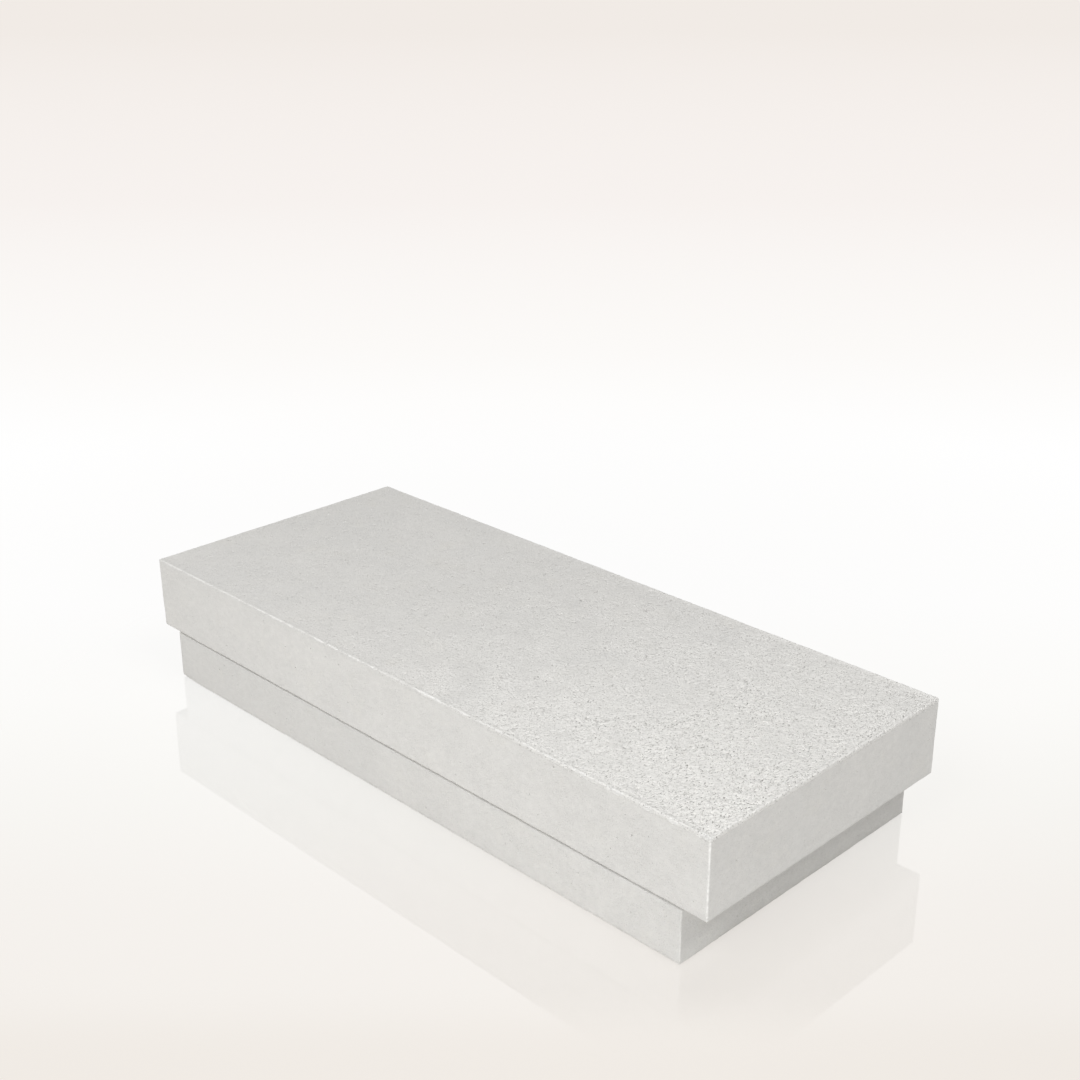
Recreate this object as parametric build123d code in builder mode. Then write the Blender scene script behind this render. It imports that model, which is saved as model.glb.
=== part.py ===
from build123d import *
import os

# Aerated concrete ceiling block, one solid of wire-cut autoclaved concrete.
# It spans between two floor beams: the slab's overhanging ends rest on the beam flanges
# and the tongue below hangs down between them.
# Millimetres. X runs along the block from beam to beam, Y along the beams, Z up.
# The origin is the centre of the underside, on the surface that the block lies on.

# Driving dimensions
BLOCK_LENGTH = 600.0
BLOCK_WIDTH = 250.0
SLAB_HEIGHT = 61.0
TONGUE_HEIGHT = 42.0
# How far each end of the slab reaches past the tongue, which is its bearing on the beam
LEDGE_DEPTH = 20.0
# Rounding of the outer arrises, as left by wire cutting and handling
ARRIS_RADIUS = 2.0
# Shadow groove between slab and tongue on the long sides: its upright wall, and how much
# wider than the other arrises the slab's lower arris is rounded above it
GROOVE_HEIGHT = 0.6
GROOVE_EASING = 0.5

# Sizes that follow from them
block_height = SLAB_HEIGHT + TONGUE_HEIGHT
tongue_length = BLOCK_LENGTH - 2 * LEDGE_DEPTH
groove_radius = ARRIS_RADIUS + GROOVE_EASING
groove_floor = TONGUE_HEIGHT - GROOVE_HEIGHT
side = BLOCK_WIDTH / 2

with BuildPart() as ceiling_block:
    # The stepped section, half of it drawn and mirrored, then run across the width
    with BuildSketch(Plane.XZ):
        with BuildLine():
            Polyline(
                (0, 0),
                (tongue_length / 2, 0),
                (tongue_length / 2, TONGUE_HEIGHT),
                (BLOCK_LENGTH / 2, TONGUE_HEIGHT),
                (BLOCK_LENGTH / 2, block_height),
                (0, block_height),
            )
            mirror(about=Plane.YZ)
        make_face()
    extrude(amount=side, both=True)

    # The shadow groove along both long sides: the slab's lower arris rolls in over it,
    # and its floor is the top of the tongue, flush with the slab's side
    with BuildSketch(Plane.YZ):
        with BuildLine():
            roll = RadiusArc(
                (side, TONGUE_HEIGHT + groove_radius),
                (side - groove_radius, TONGUE_HEIGHT),
                groove_radius,
            )
            Polyline(
                roll @ 1,
                (side - groove_radius, groove_floor),
                (side, groove_floor),
                roll @ 0,
            )
        make_face()
        mirror(about=Plane.YZ)
    extrude(amount=BLOCK_LENGTH / 2, both=True, mode=Mode.SUBTRACT)

    # The slab's arrises: round both end faces, and along the top of both long sides
    slab_ends = ceiling_block.faces().filter_by(Axis.X).group_by(Axis.X)
    end_arrises = slab_ends[0].face().edges() + slab_ends[-1].face().edges()
    top_arrises = ceiling_block.faces().sort_by(Axis.Z)[-1].edges().filter_by(Axis.X)
    fillet(end_arrises + top_arrises, ARRIS_RADIUS)

    # The tongue's arrises: up its corners, and round the block's underside
    tongue_corners = ceiling_block.edges().filter_by(Axis.Z).group_by(Axis.Z)[0]
    underside_arrises = ceiling_block.faces().sort_by(Axis.Z)[0].edges()
    fillet(tongue_corners + underside_arrises, ARRIS_RADIUS)

ceiling_block.part.label = "ceiling_block"

os.makedirs("parts", exist_ok=True)
export_step(ceiling_block.part, "parts/ceiling_block.step")
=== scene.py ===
import math

import bmesh
import bpy
import numpy as np
from mathutils import Euler, Matrix, Vector, noise


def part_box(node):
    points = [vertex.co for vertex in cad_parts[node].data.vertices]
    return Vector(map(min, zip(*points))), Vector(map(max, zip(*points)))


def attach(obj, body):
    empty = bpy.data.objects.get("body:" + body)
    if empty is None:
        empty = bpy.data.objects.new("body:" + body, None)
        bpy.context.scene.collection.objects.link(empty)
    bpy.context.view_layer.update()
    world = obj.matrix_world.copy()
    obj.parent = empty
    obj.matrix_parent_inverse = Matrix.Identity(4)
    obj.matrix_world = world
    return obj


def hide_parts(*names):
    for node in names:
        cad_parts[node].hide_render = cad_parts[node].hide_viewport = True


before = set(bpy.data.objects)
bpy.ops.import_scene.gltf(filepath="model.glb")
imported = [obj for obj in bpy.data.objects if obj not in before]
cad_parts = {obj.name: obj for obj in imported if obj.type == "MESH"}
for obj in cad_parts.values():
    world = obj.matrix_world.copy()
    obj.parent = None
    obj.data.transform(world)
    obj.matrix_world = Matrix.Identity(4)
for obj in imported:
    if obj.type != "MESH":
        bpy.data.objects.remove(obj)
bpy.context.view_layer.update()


# Arrises of the block
# The block is wire-cut from a cake of green aerated concrete and rebated at both ends to hang on
# floor beams. Its soft arrises crumble in handling, so each is a narrow rounding that comes and goes,
# and rubbing leaves them chalky; a painted highlight lies on the same line where the arrises face the light.

# The block's own sizes, in millimetres; the neck is the wall at the back of the shadow groove
MM = 0.001
LEDGE_DEPTH = 20.0
SLAB_HEIGHT = 61.0
GROOVE_HEIGHT = 0.6
NECK_INSET = 2.8
_, (half_length, half_width, block_top) = (np.array(corner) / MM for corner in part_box("ceiling_block"))
slab_base = block_top - SLAB_HEIGHT
tongue_top = slab_base - GROOVE_HEIGHT
half_tongue = half_length - LEDGE_DEPTH

# How the skin is cut: a border of narrow rows round every flat face, closest together at the arris
BORDER = 4.0
ARRIS_STEP = 3.0
ARRIS_CUTS = (0.0, 0.4, 1.2, 2.4)
TOP_CUTS = (0.3, 0.8, 1.5)

# How far the arrises are worn, and the height and waves per millimetre of their unevenness
UPPER_WEAR = 1.0
UNDER_WEAR = 1.9
LEAST_WEAR = 0.5
UNEVENNESS = ((0.5, 0.05), (0.35, 0.17), (0.2, 0.5))
FRONT_CRUMBLE = 1.2
OTHER_CRUMBLE = 0.4
CRUMBLE_WAVES = 0.31

# The knock at the lower left end: its depth, where it starts, and the run over which it grows
KNOCK_DEPTH = 2.2
KNOCK_X, KNOCK_X_RUN = -250.0, 40.0
KNOCK_Z, KNOCK_Z_RUN = 70.0, 24.0

# The rubbed line, chalk with a painted highlight on it: its width, how much broader it gets to the right along
# the top, the run over which it starts at the left, and its strength up the corners and elsewhere
CHALK_AND_HIGHLIGHT_WIDTH = 2.0
CHALK_AND_HIGHLIGHT_SPREAD = 1.2
CHALK_AND_HIGHLIGHT_RUN = 14.0
SLAB_CORNER_CHALK_AND_HIGHLIGHT = 0.8
TONGUE_CORNER_CHALK_AND_HIGHLIGHT = 0.45
FAINT_CHALK_AND_HIGHLIGHT = 0.15


def nearest_arris(point, low, high):
    """How far a point of a box's surface is from its nearest arris, and the two faces that meet there."""
    gaps = np.concatenate([point - low, high - point])
    order = np.argsort(gaps)
    return gaps[order[1]], {("left", "front", "under", "right", "back", "top")[n] for n in order[:2]}


def held(share):
    """A share held between 0 and 1."""
    return min(max(share, 0.0), 1.0)


def wear(point, faces):
    """Rounding of an arris, in millimetres: uneven along it, and most at the knocked lower left end."""
    spot = Vector(point)
    radius = UNDER_WEAR if "under" in faces else UPPER_WEAR
    radius += sum(height * noise.noise(spot * waves) for height, waves in UNEVENNESS)
    if "top" in faces:
        crumble = FRONT_CRUMBLE if "front" in faces else OTHER_CRUMBLE
        to_right = held((spot.x + half_length) / (2 * half_length))
        radius += crumble * to_right ** 2 * noise.noise(spot * CRUMBLE_WAVES)
    knocked = held((KNOCK_X - spot.x) / KNOCK_X_RUN) * held((KNOCK_Z - spot.z) / KNOCK_Z_RUN)
    return min(max(radius + KNOCK_DEPTH * knocked, LEAST_WEAR), BORDER)


def rubbed_and_highlighted(point, gap, faces):
    """How chalky an arris is, with its painted highlight, from 0 to 1: most along the top of the long sides, less
    up the corners.
    """
    line = max(1.0 - gap / CHALK_AND_HIGHLIGHT_WIDTH, 0.0)
    if faces & {"front", "back"} and "top" in faces:
        width = CHALK_AND_HIGHLIGHT_WIDTH + CHALK_AND_HIGHLIGHT_SPREAD * max(point[0] / half_length, 0.0)
        return max(1.0 - gap / width, 0.0) * held((point[0] + half_length) / CHALK_AND_HIGHLIGHT_RUN)
    if faces & {"left", "right"} and faces & {"front", "back"}:
        return line * (SLAB_CORNER_CHALK_AND_HIGHLIGHT if point[2] > slab_base else TONGUE_CORNER_CHALK_AND_HIGHLIGHT)
    return line * FAINT_CHALK_AND_HIGHLIGHT


def stops_along(first, last):
    """Places along one straight arris: close together at its two corners, evenly spaced between them."""
    run = abs(last - first)
    count = max(round((run - 2 * BORDER) / ARRIS_STEP), 1)
    middle = np.linspace(BORDER, run - BORDER, count + 1)
    near = np.array(ARRIS_CUTS)
    return first + np.sign(last - first) * np.concatenate([near, middle, run - near[::-1]])


def ring_of(half_x, half_y):
    """A rectangle's outline from above, counter-clockwise, and where each side's flat face starts and ends."""
    sides = [
        [(x, -half_y) for x in stops_along(-half_x, half_x)[:-1]],
        [(half_x, y) for y in stops_along(-half_y, half_y)[:-1]],
        [(x, half_y) for x in stops_along(half_x, -half_x)[:-1]],
        [(-half_x, y) for y in stops_along(half_y, -half_y)[:-1]],
    ]
    flats = []
    start = 0
    for side in sides:
        flats.append((start + len(ARRIS_CUTS), start + len(side) - len(ARRIS_CUTS)))
        start += len(side)
    return np.array([spot for side in sides for spot in side]), flats


def skin_rows(ring, rows, low, high):
    """Carries a ring over rows of (end inset, side inset, height, most rounding), rounded to the worn
    arrises of the box low to high. Each point of the skin also says how chalky it is, with its painted highlight."""
    skin = np.zeros((len(rows), len(ring), 4))
    for row, (end_inset, side_inset, height, most) in enumerate(rows):
        for column, (x, y) in enumerate(ring):
            point = np.array([
                np.clip(x, low[0] + end_inset, high[0] - end_inset),
                np.clip(y, low[1] + side_inset, high[1] - side_inset),
                height,
            ])
            gap, faces = nearest_arris(point, low, high)
            radius = min(wear(point, faces), most if faces & {"front", "back", "top"} else BORDER)
            core = np.clip(point, low + radius, high - radius)
            reach = point - core
            skin[row, column, :3] = core + reach * radius / max(np.linalg.norm(reach), 1e-9)
            skin[row, column, 3] = rubbed_and_highlighted(point, gap, faces)
    return skin


block_mesh = bmesh.new()
# How chalky each point is, with the painted highlight on the arrises, and how deep it lies
arris_chalk_and_highlight = block_mesh.verts.layers.float.new("arris_chalk_and_highlight")
pore_depth = block_mesh.verts.layers.float.new("pore_depth")


def add_skin(skin, flats, flat_rows):
    """Adds the quads of a skin, leaving out the flat faces of its four sides, which get their own pores."""
    rows, columns = skin.shape[:2]
    verts = [[block_mesh.verts.new(spot[:3] * MM) for spot in line] for line in skin]
    for line, spots in zip(verts, skin):
        for vert, spot in zip(line, spots):
            vert[arris_chalk_and_highlight] = spot[3]
    for row in range(rows - 1):
        for column in range(columns):
            on_flat = any(start <= column < end for start, end in flats)
            if on_flat and flat_rows[0] <= row < flat_rows[1]:
                continue
            following = (column + 1) % columns
            block_mesh.faces.new((
                verts[row + 1][column], verts[row + 1][following], verts[row][following], verts[row][column],
            ))


def side_heights(high, low):
    """Heights down a side's flat face, evenly spaced between its borders."""
    count = max(round((high - low - 2 * BORDER) / ARRIS_STEP), 1)
    return np.linspace(high - BORDER, low + BORDER, count + 1)


# The slab, from the border of its top over the sides to the ledges underneath
cuts = ARRIS_CUTS[1:]
slab_ring, slab_flats = ring_of(half_length, half_width)
slab_side = side_heights(block_top, slab_base)
slab_rows = [(inset, inset, block_top, TOP_CUTS[-1]) for inset in TOP_CUTS[::-1] + (0.0,)]
slab_rows += [(0.0, 0.0, block_top - drop, TOP_CUTS[-1]) for drop in cuts]
slab_flat_rows = (len(slab_rows), len(slab_rows) + len(slab_side) - 1)
slab_rows += [(0.0, 0.0, height, cuts[-1]) for height in slab_side]
slab_rows += [(0.0, 0.0, slab_base + rise, cuts[-1]) for rise in cuts[::-1] + (0.0,)]
slab_rows += [(inset, min(inset, cuts[-1]), slab_base, cuts[-1]) for inset in cuts + (BORDER,)]
slab_skin = skin_rows(
    slab_ring, slab_rows,
    np.array([-half_length, -half_width, slab_base]), np.array([half_length, half_width, block_top]),
)
add_skin(slab_skin, slab_flats, slab_flat_rows)

# The tongue, from the neck in the groove over the sides to the border of the underside
tongue_ring, tongue_flats = ring_of(half_tongue, half_width)
neck_ring = [(x, np.clip(y, NECK_INSET - half_width, half_width - NECK_INSET)) for x, y in tongue_ring]
neck_skin = np.array([[(x, y, height, 0.0) for x, y in neck_ring] for height in (slab_base, tongue_top)])
tongue_side = side_heights(tongue_top, 0.0)
tongue_rows = [(0.0, 0.0, tongue_top - drop, cuts[-1]) for drop in (0.0,) + cuts]
first_flat_row = len(neck_skin) + len(tongue_rows)
tongue_flat_rows = (first_flat_row, first_flat_row + len(tongue_side) - 1)
tongue_rows += [(0.0, 0.0, height, cuts[-1]) for height in tongue_side]
tongue_rows += [(0.0, 0.0, rise, BORDER) for rise in cuts[::-1] + (0.0,)]
tongue_rows += [(inset, inset, 0.0, BORDER) for inset in cuts + (BORDER,)]
tongue_skin = skin_rows(
    tongue_ring, tongue_rows,
    np.array([-half_tongue, -half_width, 0.0]), np.array([half_tongue, half_width, block_top]),
)
tongue_skin = np.concatenate([neck_skin, tongue_skin])
add_skin(tongue_skin, tongue_flats, tongue_flat_rows)


# Pored faces of the block
# Every face is cut through a foam of set concrete. The sides and the underside are flat between a few
# small open bubbles. The top is the rough side, pulled open by the cutting wire.
pored = bpy.data.node_groups.new("pored_face", "GeometryNodeTree")
for name, kind in (
    ("Outline", "Geometry"), ("Pore Spacing", "Float"), ("Pore Share", "Float"), ("Least Radius", "Float"),
    ("Most Radius", "Float"), ("Pore Depth", "Float"), ("Seed", "Int"), ("Concrete", "Material"),
):
    pored.interface.new_socket(name, in_out="INPUT", socket_type="NodeSocket" + kind)
pored.interface.new_socket("Face", in_out="OUTPUT", socket_type="NodeSocketGeometry")


def add_node(tree, kind, wires=(), **settings):
    """Adds one node to a tree, with its settings, and wires or sets its inputs."""
    node = tree.nodes.new(kind)
    for setting, value in settings.items():
        setattr(node, setting, value)
    for socket, source in dict(wires).items():
        target = node.inputs[socket]
        if isinstance(socket, str):
            target = [entry for entry in node.inputs if entry.name == socket and entry.enabled][0]
        if isinstance(source, bpy.types.NodeSocket):
            tree.links.new(source, target)
        else:
            target.default_value = source
    return [socket for socket in node.outputs if socket.enabled]


def sum_of(tree, operation, first, second):
    """One step of arithmetic in a tree."""
    return add_node(tree, "ShaderNodeMath", {0: first, 1: second}, operation=operation)[0]


def product(tree, first, *factors):
    """Several values multiplied in a tree."""
    for factor in factors:
        first = sum_of(tree, "MULTIPLY", first, factor)
    return first


def stretched(tree, value, low, high, to_low=0.0, to_high=1.0, kind="LINEAR"):
    """A value carried from one range to another, and held at its ends."""
    return add_node(tree, "ShaderNodeMapRange", {
        "Value": value, "From Min": low, "From Max": high, "To Min": to_low, "To Max": to_high,
    }, interpolation_type=kind)[0]


given = {socket.name: socket for socket in add_node(pored, "NodeGroupInput")}
where = add_node(pored, "GeometryNodeInputPosition")[0]
upwards = add_node(pored, "ShaderNodeSeparateXYZ", {0: where})[2]

# Bubble centres, kept apart, in patches and clear of the border
MOST_PER_SQUARE_METRE = 600000.0
BUBBLE_PATCHES_PER_METRE = 28.0
scattered = add_node(
    pored, "GeometryNodeDistributePointsOnFaces",
    {
        "Mesh": given["Outline"], "Distance Min": given["Pore Spacing"],
        "Density Max": MOST_PER_SQUARE_METRE, "Seed": given["Seed"],
    },
    distribute_method="POISSON",
)[0]
patches = add_node(
    pored, "ShaderNodeTexNoise", {"Vector": where, "Scale": BUBBLE_PATCHES_PER_METRE, "Detail": 2.0},
)[0]
kept_share = product(pored, given["Pore Share"], stretched(pored, patches, 0.32, 0.62, 0.4, 1.6))


def drawn_between(tree, seed_socket, least, most, salt):
    """A random number for each bubble or grain."""
    seed = add_node(tree, "FunctionNodeIntegerMath", {0: seed_socket, 1: salt}, operation="ADD")[0]
    return add_node(
        tree, "FunctionNodeRandomValue", {"Min": least, "Max": most, "Seed": seed}, data_type="FLOAT",
    )[0]


dropped = sum_of(pored, "GREATER_THAN", drawn_between(pored, given["Seed"], 0.0, 1.0, 0), kept_share)
edge_gap = add_node(pored, "GeometryNodeProximity", {0: given["Outline"]}, target_element="EDGES")[1]
near_edge = sum_of(pored, "LESS_THAN", edge_gap, given["Most Radius"])
unwanted = add_node(pored, "FunctionNodeBooleanMath", {0: dropped, 1: near_edge}, operation="OR")[0]
centres = add_node(
    pored, "GeometryNodeDeleteGeometry", {"Geometry": scattered, "Selection": unwanted}, domain="POINT",
)[0]

# One bubble of unit size: a six-sided bowl, open at the top, and the rim that it leaves in the face
cup, cup_top = add_node(
    pored, "GeometryNodeMeshCone",
    {"Vertices": 6, "Side Segments": 1, "Radius Top": 1.0, "Radius Bottom": 0.5, "Depth": 1.0}, fill_type="NGON",
)[:2]
open_cup = add_node(
    pored, "GeometryNodeDeleteGeometry", {"Geometry": cup, "Selection": cup_top}, domain="FACE", mode="ONLY_FACE",
)[0]
bowl = add_node(pored, "GeometryNodeTransform", {"Geometry": open_cup, "Translation": (0.0, 0.0, -1.0)})[0]
at_rim = sum_of(pored, "GREATER_THAN", upwards, -0.01)
rim = add_node(pored, "GeometryNodeMeshToCurve", {"Mesh": bowl, "Selection": at_rim})[0]

# Each bubble's own size and turn
radius = drawn_between(pored, given["Seed"], given["Least Radius"], given["Most Radius"], 1)
narrow = product(pored, radius, drawn_between(pored, given["Seed"], 0.45, 0.85, 2))
deepness = product(pored, narrow, given["Pore Depth"])
size = add_node(pored, "ShaderNodeCombineXYZ", {"X": radius, "Y": narrow, "Z": deepness})[0]
spin = add_node(pored, "ShaderNodeCombineXYZ", {"Z": drawn_between(pored, given["Seed"], -0.6, 0.6, 3)})[0]


def at_centres(shape):
    """Repeats a shape at every bubble and makes it real."""
    repeated = add_node(pored, "GeometryNodeInstanceOnPoints", {
        "Points": centres, "Instance": shape, "Rotation": spin, "Scale": size,
    })[0]
    return add_node(pored, "GeometryNodeRealizeInstances", {"Geometry": repeated})[0]


def joined(*pieces):
    """Several geometries as one."""
    node = pored.nodes.new("GeometryNodeJoinGeometry")
    for piece in pieces:
        pored.links.new(piece, node.inputs[0])
    return node.outputs[0]


# The face between the bubbles, filled from its outline with every rim left open, and the bowls in the
# rims; how deep each point lies is kept in millimetres
WELD = 0.00001
outline_curve = add_node(pored, "GeometryNodeMeshToCurve", {"Mesh": given["Outline"]})[0]
sheet = add_node(
    pored, "GeometryNodeFillCurve", {"Curve": joined(outline_curve, at_centres(rim))}, mode="TRIANGLES",
)[0]
sealed = add_node(
    pored, "GeometryNodeMergeByDistance", {"Geometry": joined(sheet, at_centres(bowl)), "Distance": WELD},
)[0]
deep = add_node(
    pored, "GeometryNodeStoreNamedAttribute",
    {"Geometry": sealed, "Name": "pore_depth", "Value": product(pored, upwards, -1.0 / MM)},
    data_type="FLOAT", domain="POINT",
)[0]
whole = add_node(pored, "GeometryNodeRealizeInstances", {"Geometry": deep})[0]
finished = add_node(pored, "GeometryNodeSetMaterial", {"Geometry": whole, "Material": given["Concrete"]})[0]
add_node(pored, "NodeGroupOutput", {"Face": finished})

concrete = bpy.data.materials.new("aerated_concrete")
concrete.use_nodes = True
SIDE_PORES = {
    "Pore Spacing": 0.004, "Pore Share": 0.07, "Least Radius": 0.0003, "Most Radius": 0.0008,
    "Pore Depth": 1.2, "Seed": 1, "Concrete": concrete,
}


def worked(sheet_object, tree, values):
    """The plain mesh that a tree makes of an object with the values given; the object itself goes."""
    worker = sheet_object.modifiers.new(tree.name, "NODES")
    worker.node_group = tree
    for item in tree.interface.items_tree:
        if item.item_type == "SOCKET" and item.in_out == "INPUT" and item.name in values:
            worker[item.identifier] = values[item.name]
    made = bpy.data.meshes.new_from_object(sheet_object.evaluated_get(bpy.context.evaluated_depsgraph_get()))
    sheet_object.modifiers.remove(worker)
    bpy.data.objects.remove(sheet_object)
    return made


def add_face(loops, origin, along, up, solid=True, **pores):
    """Fills one flat face of the block, given its border loops, and adds it to the block with its bubbles."""
    along, up, origin = Vector(along), Vector(up), Vector(origin) * MM
    place = Matrix((along, up, along.cross(up))).transposed().to_4x4()
    place.translation = origin
    back = place.inverted()
    outline = bmesh.new()
    for loop in loops:
        spots = [back @ (Vector(spot[:3]) * MM) for spot in loop]
        spots = [spot for n, spot in enumerate(spots) if (spot - spots[n - 1]).length > 1e-6]
        verts = [outline.verts.new((spot.x, spot.y, 0.0)) for spot in spots]
        if solid:
            outline.faces.new(verts)
        else:
            for n, vert in enumerate(verts):
                outline.edges.new((verts[n - 1], vert))
    mesh = bpy.data.meshes.new("face_outline")
    outline.to_mesh(mesh)
    outline.free()
    face = bpy.data.objects.new("face_outline", mesh)
    bpy.context.scene.collection.objects.link(face)
    filled = worked(face, pored, {**SIDE_PORES, **pores})
    filled.transform(place)
    block_mesh.from_mesh(filled)
    bpy.data.meshes.remove(filled)


def side_loop(skin, flat, flat_rows):
    """The border of one side's flat face, read off the skin."""
    start, end = flat
    top_row, base_row = flat_rows
    columns = [column % skin.shape[1] for column in range(start, end + 1)]
    rows = list(range(top_row, base_row + 1))
    loop = [skin[base_row, column] for column in columns]
    loop += [skin[row, columns[-1]] for row in rows[-2::-1]]
    loop += [skin[top_row, column] for column in columns[-2::-1]]
    loop += [skin[row, columns[0]] for row in rows[1:-1]]
    return loop


# The underside, the ledges with the roof of the groove, and the four sides of slab and tongue
UNDERSIDE_SEED = 12
FIRST_SIDE_SEED = 20
add_face([tongue_skin[-1]], (0, 0, 0), (1, 0, 0), (0, -1, 0), **{"Seed": UNDERSIDE_SEED, "Pore Share": 0.04})
add_face([slab_skin[-1], tongue_skin[0]], (0, 0, slab_base), (1, 0, 0), (0, -1, 0), solid=False)
directions = ((1, 0, 0), (0, 1, 0), (-1, 0, 0), (0, -1, 0))
for number, along in enumerate(directions):
    outward = Vector(along).cross(Vector((0, 0, 1)))
    for skin, flats, flat_rows, half_run in (
        (slab_skin, slab_flats, slab_flat_rows, half_length),
        (tongue_skin, tongue_flats, tongue_flat_rows, half_tongue),
    ):
        origin = Vector((outward.x * half_run, outward.y * half_width, 0.0))
        loop = side_loop(skin, flats[number], flat_rows)
        add_face([loop], origin, along, (0, 0, 1), **{"Seed": FIRST_SIDE_SEED + number})

# The top, a close grain of hollows and crumbs that grows coarser towards the right end, starts as a
# plain sheet of small quads inside the slab's border
GRAIN_ACROSS = 1.25
GRAIN_ALONG = 1.7
SHEET_GAP = 0.3
grain_x = half_length - TOP_CUTS[-1] - SHEET_GAP
grain_y = half_width - TOP_CUTS[-1] - SHEET_GAP
columns = np.linspace(-grain_x, grain_x, round(2 * grain_x / GRAIN_ACROSS) + 1)
lines = np.linspace(-grain_y, grain_y, round(2 * grain_y / GRAIN_ALONG) + 1)
sheet_verts = [(x * MM, y * MM, block_top * MM) for y in lines for x in columns]
sheet_faces = []
for n in range(len(lines) - 1):
    for m in range(len(columns) - 1):
        first = n * len(columns) + m
        sheet_faces.append((first, first + 1, first + len(columns) + 1, first + len(columns)))
sheet_mesh = bpy.data.meshes.new("top_sheet")
sheet_mesh.from_pydata(sheet_verts, [], sheet_faces)
top_sheet = bpy.data.objects.new("top_sheet", sheet_mesh)
bpy.context.scene.collection.objects.link(top_sheet)

rough = bpy.data.node_groups.new("rough_top", "GeometryNodeTree")
for name, kind in (
    ("Sheet", "Geometry"), ("Pit Share", "Float"), ("Pit Depth", "Float"), ("Crumb Share", "Float"),
    ("Crumb Height", "Float"), ("Ripple Height", "Float"), ("Grit Height", "Float"), ("Shake", "Float"),
    ("Smooth End", "Float"), ("Rough End", "Float"), ("Half Length", "Float"), ("Half Width", "Float"),
    ("Seed", "Int"), ("Concrete", "Material"),
):
    rough.interface.new_socket(name, in_out="INPUT", socket_type="NodeSocket" + kind)
rough.interface.new_socket("Top", in_out="OUTPUT", socket_type="NodeSocketGeometry")
asked = {socket.name: socket for socket in add_node(rough, "NodeGroupInput")}
spot_here = add_node(rough, "GeometryNodeInputPosition")[0]
along_block, over_block, _ = add_node(rough, "ShaderNodeSeparateXYZ", {0: spot_here})


def drawn(least, most, salt):
    """A random number for each grain of the top."""
    return drawn_between(rough, asked["Seed"], least, most, salt)


# How coarse the grain is: more to the right, in patches, and none along the border of the sheet
GRAIN_PATCHES_PER_METRE = 45.0
BORDER_FADE = 0.0008
coarseness = stretched(rough, along_block, asked["Smooth End"], asked["Rough End"])
coarseness = sum_of(rough, "POWER", coarseness, 1.4)
patchy = add_node(
    rough, "ShaderNodeTexNoise", {"Vector": spot_here, "Scale": GRAIN_PATCHES_PER_METRE, "Detail": 2.0},
)[0]
coarseness = product(rough, coarseness, stretched(rough, patchy, 0.32, 0.66, 0.55, 1.25))
to_end = sum_of(rough, "SUBTRACT", asked["Half Length"], sum_of(rough, "ABSOLUTE", along_block, 0.0))
to_long_edge = sum_of(rough, "SUBTRACT", asked["Half Width"], sum_of(rough, "ABSOLUTE", over_block, 0.0))
within = stretched(rough, sum_of(rough, "MINIMUM", to_end, to_long_edge), 0.0, BORDER_FADE)

# One grain in so many is a pit and one in so many a crumb; the rest lie in shallow ripples with grit
RIPPLES_PER_METRE = 420.0
chance = drawn(0.0, 1.0, 0)
pit_share = product(rough, asked["Pit Share"], stretched(rough, coarseness, 0.0, 1.0, 0.12, 1.0))
pit = product(
    rough, sum_of(rough, "LESS_THAN", chance, pit_share), asked["Pit Depth"], drawn(0.4, 1.0, 1),
    stretched(rough, coarseness, 0.0, 1.0, 0.8, 1.0),
)
crumb_share = product(rough, asked["Crumb Share"], stretched(rough, coarseness, 0.0, 1.0, 0.1, 1.0))
is_crumb = sum_of(rough, "GREATER_THAN", chance, sum_of(rough, "SUBTRACT", 1.0, crumb_share))
base = product(rough, asked["Crumb Height"], stretched(rough, coarseness, 0.0, 1.0, 0.3, 1.0))
crumb = product(rough, is_crumb, base, drawn(0.5, 1.0, 2))
drawn_out = add_node(
    rough, "ShaderNodeVectorMath", {0: spot_here, 1: (1.0, 0.6, 1.0)}, operation="MULTIPLY",
)[0]
waves = add_node(
    rough, "ShaderNodeTexNoise", {"Vector": drawn_out, "Scale": RIPPLES_PER_METRE, "Detail": 2.0},
)[0]
ripple_height = product(rough, asked["Ripple Height"], coarseness)
ripples = product(rough, stretched(rough, waves, 0.25, 0.75), ripple_height)
grit = product(rough, asked["Grit Height"], coarseness, drawn(0.0, 1.0, 5))
ripples = sum_of(rough, "ADD", ripples, grit)
hollow = product(rough, sum_of(rough, "SUBTRACT", pit, crumb), within)
ground = product(rough, sum_of(rough, "ADD", base, ripples), within)
sunk = sum_of(rough, "ADD", hollow, ground)
shaken = product(rough, asked["Shake"], within)

# The sheet with every grain moved to its place, its depth kept in millimetres
marked = add_node(
    rough, "GeometryNodeStoreNamedAttribute",
    {"Geometry": asked["Sheet"], "Name": "pore_depth", "Value": product(rough, hollow, 1.0 / MM)},
    data_type="FLOAT", domain="POINT",
)[0]
shift = add_node(rough, "ShaderNodeCombineXYZ", {
    "X": product(rough, shaken, drawn(-1.0, 1.0, 3)),
    "Y": product(rough, shaken, drawn(-1.3, 1.3, 4)),
    "Z": product(rough, sunk, -1.0),
})[0]
settled = add_node(rough, "GeometryNodeSetPosition", {"Geometry": marked, "Offset": shift})[0]
split = add_node(rough, "GeometryNodeTriangulate", {"Mesh": settled})[0]
real = add_node(rough, "GeometryNodeRealizeInstances", {"Geometry": split})[0]
top_done = add_node(rough, "GeometryNodeSetMaterial", {"Geometry": real, "Material": asked["Concrete"]})[0]
add_node(rough, "NodeGroupOutput", {"Top": top_done})
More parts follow.
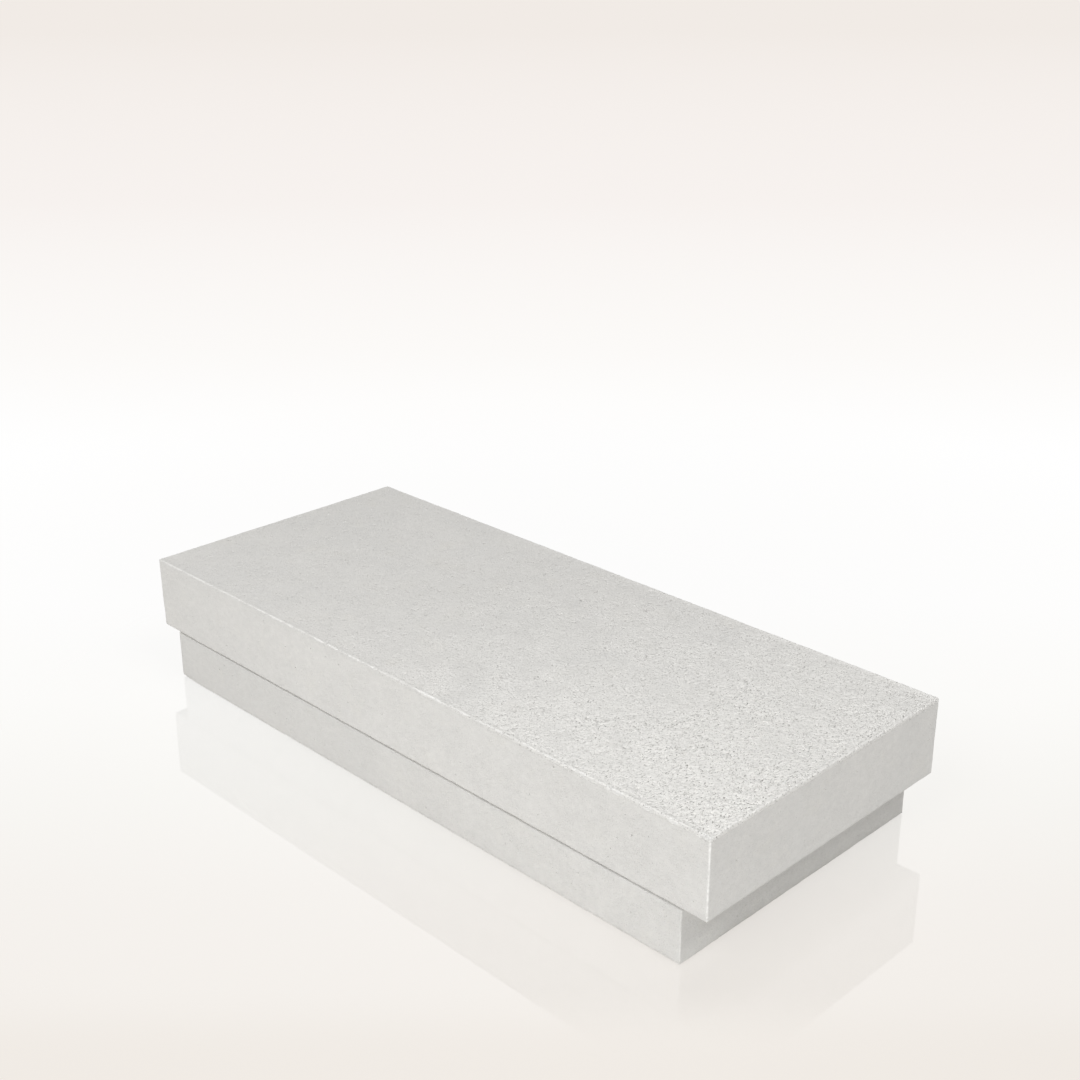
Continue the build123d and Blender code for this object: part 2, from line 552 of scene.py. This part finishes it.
rough_sheet = worked(top_sheet, rough, {
    "Pit Share": 0.10, "Pit Depth": 0.0010, "Crumb Share": 0.12, "Crumb Height": 0.0004,
    "Ripple Height": 0.0002, "Grit Height": 0.0006, "Shake": 0.0004,
    "Smooth End": -half_length * MM, "Rough End": half_length * MM,
    "Half Length": grain_x * MM, "Half Width": grain_y * MM,
    "Seed": 7, "Concrete": concrete,
})
block_mesh.from_mesh(rough_sheet)
border = [(x, -grain_y, block_top) for x in columns[:-1]] + [(grain_x, y, block_top) for y in lines[:-1]]
border += [(x, grain_y, block_top) for x in columns[:0:-1]] + [(-grain_x, y, block_top) for y in lines[:0:-1]]
add_face([slab_skin[0], border], (0, 0, block_top), (1, 0, 0), (0, 1, 0), solid=False)

# Skin, faces and top are sewn into one closed block, flat where it is flat
SMALLEST_EDGE = 0.000001
FLAT = 0.9999
CREASE = math.radians(50.0)
bmesh.ops.remove_doubles(block_mesh, verts=block_mesh.verts, dist=WELD)
bmesh.ops.dissolve_degenerate(block_mesh, edges=block_mesh.edges, dist=SMALLEST_EDGE)
bmesh.ops.recalc_face_normals(block_mesh, faces=block_mesh.faces)
mesh = bpy.data.meshes.new("concrete_block")
block_mesh.to_mesh(mesh)
block_mesh.free()
mesh.shade_smooth()
for facet in mesh.polygons:
    if max(abs(part) for part in facet.normal) > FLAT:
        facet.use_smooth = False
mesh.set_sharp_from_angle(angle=CREASE)
block = bpy.data.objects.new("concrete_block", mesh)
bpy.context.scene.collection.objects.link(block)
mesh.materials.clear()
mesh.materials.append(concrete)

# Set aerated concrete: warm pale grey with faint clouds, chalky on the rubbed arrises, and with a grain that is
# coarse only at the right of the top. Its colour also holds painted light: painted shade down in the bubbles, in
# the grain's hollows and on the left of the tongue's long side, and painted highlights on the crumbs, on the
# grain's tops, on the open top towards the front and along the rubbed arrises
CONCRETE = (0.718, 0.712, 0.692, 1.0)
PALE_CLOUD = (0.747, 0.738, 0.714, 1.0)
WARM_STAIN = (0.74, 0.722, 0.66, 1.0)
PALE_MOTTLE = (0.83, 0.82, 0.80, 1.0)
GREY_SPECK = (0.62, 0.615, 0.597, 1.0)
FRESH_BREAK_AND_HIGHLIGHT = (0.975, 0.965, 0.935, 1.0)
TONGUE_SHADE = (0.55, 0.548, 0.535, 1.0)
CRUMB_TOP_AND_HIGHLIGHT = (0.90, 0.89, 0.87, 1.0)
PIT_SHADE = (0.34, 0.33, 0.31, 1.0)
TICK_SHADE = (0.29, 0.28, 0.262, 1.0)
TICK_HIGHLIGHT = (0.96, 0.95, 0.93, 1.0)
CHALK_AND_HIGHLIGHT_LINE = (0.96, 0.955, 0.935, 1.0)
BUMP_HEIGHT = 0.0015
paint = concrete.node_tree
surface = paint.nodes["Principled BSDF"]
place = [socket for socket in add_node(paint, "ShaderNodeTexCoord") if socket.name == "Object"][0]
east, north, height = add_node(paint, "ShaderNodeSeparateXYZ", {0: place})


def grain_of(scale, detail, stretch=(1.0, 1.0, 1.0)):
    """A cloud pattern through the block, given how many of its features fit in a metre."""
    spread = add_node(paint, "ShaderNodeMapping", {"Vector": place, "Scale": stretch})[0]
    return add_node(
        paint, "ShaderNodeTexNoise", {"Vector": spread, "Scale": scale, "Detail": detail, "Roughness": 0.6},
    )[0]


def tinted(amount, first, second):
    """One colour turned into another by an amount from 0 to 1."""
    return add_node(paint, "ShaderNodeMix", {0: amount, 6: first, 7: second}, data_type="RGBA")[0]


# Where on the block: how far to the rough end, on the top, on a long side
rough_run = sum_of(paint, "POWER", stretched(paint, east, -half_length * MM, half_length * MM), 1.3)
on_top = stretched(paint, height, (block_top - 4.0) * MM, (block_top - 2.2) * MM, kind="SMOOTHSTEP")
coarse_here = product(paint, rough_run, on_top)
to_side = sum_of(paint, "SUBTRACT", half_width * MM, sum_of(paint, "ABSOLUTE", north, 0.0))
on_long_side = stretched(paint, to_side, 0.0005, 0.0015, 1.0, 0.0)

# How open the grain is: most at the right of the top, a little on the long sides, in patches, and
# less along the back
open_here = stretched(paint, coarse_here, 0.0, 1.0, 0.22, 0.91, "SMOOTHSTEP")
open_here = sum_of(paint, "ADD", open_here, product(paint, on_top, 0.1))
open_here = sum_of(paint, "ADD", open_here, product(paint, on_long_side, rough_run, 0.15))
open_here = product(
    paint, open_here,
    stretched(paint, grain_of(42.0, 2.0), 0.36, 0.62, 0.72, 1.12),
    stretched(paint, north, 0.02, 0.12, 1.0, 0.78),
)

# Clouds and stains, the fine mottle and the specks, which are plainer on the sides
clouds = stretched(paint, grain_of(16.0, 3.0), 0.35, 0.65)
stains = stretched(paint, grain_of(38.0, 1.0), 0.58, 0.75, 0.0, 0.2)
crumbs = grain_of(760.0, 2.0, (1.0, 0.6, 1.0))
mottle = stretched(paint, crumbs, 0.3, 0.7)
specks = stretched(paint, grain_of(260.0, 3.0, (0.7, 0.7, 1.0)), 0.3, 0.7)
specks = product(paint, specks, stretched(paint, on_top, 0.0, 1.0, 0.44, 0.28))

# Where the top is open it is lighter, partly fresh concrete and partly a painted highlight, brightest towards the
# front; the long sides are lightened a little too. Painted shade darkens the left part of the tongue's long side,
# fading out below the groove
fresh_and_highlight = product(
    paint, stretched(paint, open_here, 0.43, 1.1, 0.0, 0.93), on_top,
    stretched(paint, north, -0.11, 0.0, 1.12, 0.96),
)
fresh_and_highlight = sum_of(paint, "MAXIMUM", fresh_and_highlight, product(paint, on_long_side, 0.08))
painted_tongue_shade = product(
    paint, on_long_side, stretched(paint, height, 0.0405, 0.0425, 0.16, 0.0),
    stretched(paint, east, -0.05, 0.2, 1.0, 0.0),
)

# Crumbs that stand up, lighter partly in their own colour and partly by a painted highlight; pits that lie deep,
# darkened by painted shade; and the thin ticks between them, painted shade in the grain's hollows and a painted
# highlight on its tops
depth_here = add_node(paint, "ShaderNodeAttribute", attribute_name="pore_depth")[2]
raised = stretched(paint, depth_here, -0.25, -0.06, 0.6, 0.0)
pit_shade = product(
    paint, stretched(paint, depth_here, 0.3, 0.8), stretched(paint, coarse_here, 0.0, 0.7, 0.85, 0.4),
)
ticks = grain_of(1150.0, 1.0, (1.0, 0.5, 1.0))
dark_ticks = product(paint, stretched(paint, ticks, 0.28, 0.39, 0.9, 0.0), open_here)
light_ticks = product(paint, stretched(paint, ticks, 0.60, 0.72, 0.0, 0.6), open_here)

# Chalk on the rubbed arrises, with a painted highlight where they face the light: in dashes along the top,
# broader by its lip at the right, whole up the corners
near_arris = add_node(paint, "ShaderNodeAttribute", attribute_name="arris_chalk_and_highlight")[2]
lip = product(
    paint, stretched(paint, to_side, 0.0005, 0.0036, 1.0, 0.0), stretched(paint, east, 0.08, 0.28), on_top,
)
near_arris = sum_of(paint, "MAXIMUM", near_arris, lip)
dashes = stretched(paint, grain_of(85.0, 3.0), 0.46, 0.55)
unbroken = stretched(paint, on_top, 0.0, 1.0, 1.0, 0.0)
ragged = stretched(paint, grain_of(330.0, 1.0), 0.3, 0.7, 0.55, 1.25)
chalk_and_highlight = product(paint, near_arris, sum_of(paint, "MAXIMUM", dashes, unbroken), ragged)
chalk_and_highlight = product(
    paint, stretched(paint, chalk_and_highlight, 0.25, 0.75), stretched(paint, rough_run, 0.0, 1.0, 0.5, 1.0),
)

colour = tinted(clouds, CONCRETE, PALE_CLOUD)
for amount, tone in (
    (stains, WARM_STAIN), (product(paint, mottle, 0.22), PALE_MOTTLE), (specks, GREY_SPECK),
    (fresh_and_highlight, FRESH_BREAK_AND_HIGHLIGHT), (painted_tongue_shade, TONGUE_SHADE), (raised, CRUMB_TOP_AND_HIGHLIGHT), (pit_shade, PIT_SHADE),
    (dark_ticks, TICK_SHADE), (light_ticks, TICK_HIGHLIGHT), (chalk_and_highlight, CHALK_AND_HIGHLIGHT_LINE),
):
    colour = tinted(amount, colour, tone)
relief = sum_of(paint, "SUBTRACT", sum_of(paint, "ADD", crumbs, ticks), 1.0)
relief = product(paint, relief, open_here)
bumps = add_node(paint, "ShaderNodeBump", {"Strength": 1.0, "Distance": BUMP_HEIGHT, "Height": relief})[0]
paint.links.new(colour, surface.inputs["Base Color"])
paint.links.new(stretched(paint, mottle, 0.0, 1.0, 0.85, 0.95), surface.inputs["Roughness"])
paint.links.new(bumps, surface.inputs["Normal"])
surface.inputs["Specular IOR Level"].default_value = 0.2
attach(block, "root")
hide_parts("ceiling_block")


# Floor
# A plain pale sheet of polished board, wide enough to fill the view: white behind the block and a
# warmer cream near and far, with the block's soft shadow and a weak reflection of it.
FLOOR_REACH = 20
# A hair under the block, so that the two don't flicker where they touch
FLOOR_DROP = -0.0001
floor_mesh = bpy.data.meshes.new("floor")
floor_corners = ((-1, -1), (1, -1), (1, 1), (-1, 1))
floor_mesh.from_pydata(
    [(x * FLOOR_REACH, y * FLOOR_REACH, FLOOR_DROP) for x, y in floor_corners], [], [(0, 1, 2, 3)],
)
floor = bpy.data.objects.new("floor", floor_mesh)
bpy.context.scene.collection.objects.link(floor)
board = bpy.data.materials.new("floor_board")
board.use_nodes = True
sheen = board.node_tree
sheen.nodes.clear()
spot = [socket for socket in add_node(sheen, "ShaderNodeTexCoord") if socket.name == "Object"][0]
how_far = add_node(sheen, "ShaderNodeVectorMath", {0: spot}, operation="LENGTH")[0]
floor_east = add_node(sheen, "ShaderNodeSeparateXYZ", {0: spot})[0]

# Its colour, by how many metres behind the block's middle
BACKWARDS = (-0.7071, 0.7071, 0.0)
NEAREST = -0.4
COLOUR_RUN = 8.0
CREAM_TO_WHITE = (
    (-0.39, (0.862, 0.815, 0.762)), (-0.22, (0.888, 0.852, 0.812)), (-0.09, (0.925, 0.912, 0.880)),
    (0.06, (0.978, 0.974, 0.955)), (0.26, (1.0, 1.0, 1.0)), (0.70, (1.0, 1.0, 1.0)),
    (1.14, (0.973, 0.956, 0.939)), (2.34, (0.930, 0.888, 0.863)), (6.77, (0.880, 0.831, 0.791)),
)
away = add_node(sheen, "ShaderNodeVectorMath", {0: spot, 1: BACKWARDS}, operation="DOT_PRODUCT")[0]
ramp = sheen.nodes.new("ShaderNodeValToRGB")
sheen.links.new(stretched(sheen, away, NEAREST, NEAREST + COLOUR_RUN), ramp.inputs[0])
for n, (distance, tone) in enumerate(CREAM_TO_WHITE):
    step = ramp.color_ramp.elements[n] if n < 2 else ramp.color_ramp.elements.new(1.0)
    step.position = (distance - NEAREST) / COLOUR_RUN
    step.color = tone + (1.0,)

# It glows in its own colour, less beside the block, where the shadow shows
UNLIT_BOARD = (0.92, 0.913, 0.90, 1.0)
seen = {socket.name: socket for socket in add_node(sheen, "ShaderNodeLightPath")}
shown = sum_of(sheen, "MAXIMUM", seen["Is Camera Ray"], seen["Is Glossy Ray"])
flat_board = add_node(sheen, "ShaderNodeBsdfDiffuse", {"Color": UNLIT_BOARD})[0]
lit_board = add_node(sheen, "ShaderNodeEmission", {"Color": ramp.outputs[0], "Strength": 1.0})[0]
glow = product(sheen, shown, stretched(sheen, how_far, 0.3, 0.9, 0.88, 1.0))
soft_board = add_node(sheen, "ShaderNodeMixShader", {0: glow, 1: flat_board, 2: lit_board})[0]

# Its polish, which fades towards the viewer, away from the block and past the right end
SHINE = 0.21
polish = add_node(sheen, "ShaderNodeBsdfGlossy", {"Color": (1.0, 1.0, 1.0, 1.0), "Roughness": 0.03})[0]
shine = product(
    sheen, stretched(sheen, away, -0.365, -0.305, 0.0, SHINE, "SMOOTHSTEP"),
    stretched(sheen, how_far, 0.7, 1.1, 1.0, 0.0),
    stretched(sheen, floor_east, 0.26, 0.36, 1.0, 0.68, "SMOOTHSTEP"),
)
mirrored = product(sheen, seen["Is Camera Ray"], shine)
polished = add_node(sheen, "ShaderNodeMixShader", {0: mirrored, 1: soft_board, 2: polish})[0]
add_node(sheen, "ShaderNodeOutputMaterial", {"Surface": polished})
floor_mesh.materials.append(board)


# Light
# A large soft lamp in front, a weaker one high on the right, and an even pale surround, which looks
# like the far floor where the camera sees it.
SURROUND_LIGHT = (1.0, 0.985, 0.97, 1.0)
SURROUND_STRENGTH = 0.344
far_floor = CREAM_TO_WHITE[-1][1] + (1.0,)
world = bpy.data.worlds.new("studio")
bpy.context.scene.world = world
world.use_nodes = True
sky = world.node_tree
surround = sky.nodes["Background"]
sky_ray = {socket.name: socket for socket in add_node(sky, "ShaderNodeLightPath")}
sky_seen = sum_of(sky, "MAXIMUM", sky_ray["Is Camera Ray"], sky_ray["Is Glossy Ray"])
sky_tone = add_node(
    sky, "ShaderNodeMix", {0: sky_ray["Is Camera Ray"], 6: SURROUND_LIGHT, 7: far_floor}, data_type="RGBA",
)[0]
sky.links.new(sky_tone, surround.inputs["Color"])
sky.links.new(stretched(sky, sky_seen, 0.0, 1.0, SURROUND_STRENGTH, 1.0), surround.inputs["Strength"])
block_middle = Vector((0.0, 0.0, 0.05))


def add_lamp(name, place, width, watts):
    """A square soft lamp turned to the block."""
    data = bpy.data.lights.new(name, "AREA")
    data.shape = "SQUARE"
    data.size = width
    data.energy = watts
    lamp = bpy.data.objects.new(name, data)
    lamp.location = place
    lamp.rotation_euler = (block_middle - lamp.location).to_track_quat("-Z", "Y").to_euler()
    lamp.visible_camera = False
    lamp.visible_glossy = False
    bpy.context.scene.collection.objects.link(lamp)


add_lamp("front_softbox", (0.403, -1.503, 1.556), 0.99, 23.3)
add_lamp("right_softbox", (1.590, 0.0, 2.594), 1.0, 28.9)


# Camera
# The photograph's own view: from the right of the front long side, a little above the block.
EYE = (0.7950, -0.7592, 0.6234)
AZIMUTH = math.radians(45.194)
ELEVATION = math.radians(22.365)
TILT = math.radians(-0.095)
SENSOR_WIDTH = 36.0
PHOTO_WIDTH = 1080.0
FOCAL_LENGTH_IN_PIXELS = 1575.7
view = bpy.data.cameras.new("photo_view")
view.sensor_width = SENSOR_WIDTH
view.lens = SENSOR_WIDTH * FOCAL_LENGTH_IN_PIXELS / PHOTO_WIDTH
view.clip_end = 100.0
camera = bpy.data.objects.new("photo_view", view)
camera.location = EYE
level = Euler((math.pi / 2 - ELEVATION, 0.0, AZIMUTH)).to_matrix()
camera.rotation_euler = (level @ Matrix.Rotation(TILT, 3, "Z")).to_euler()
bpy.context.scene.collection.objects.link(camera)
bpy.context.scene.camera = camera
bpy.context.scene.view_settings.view_transform = "Standard"
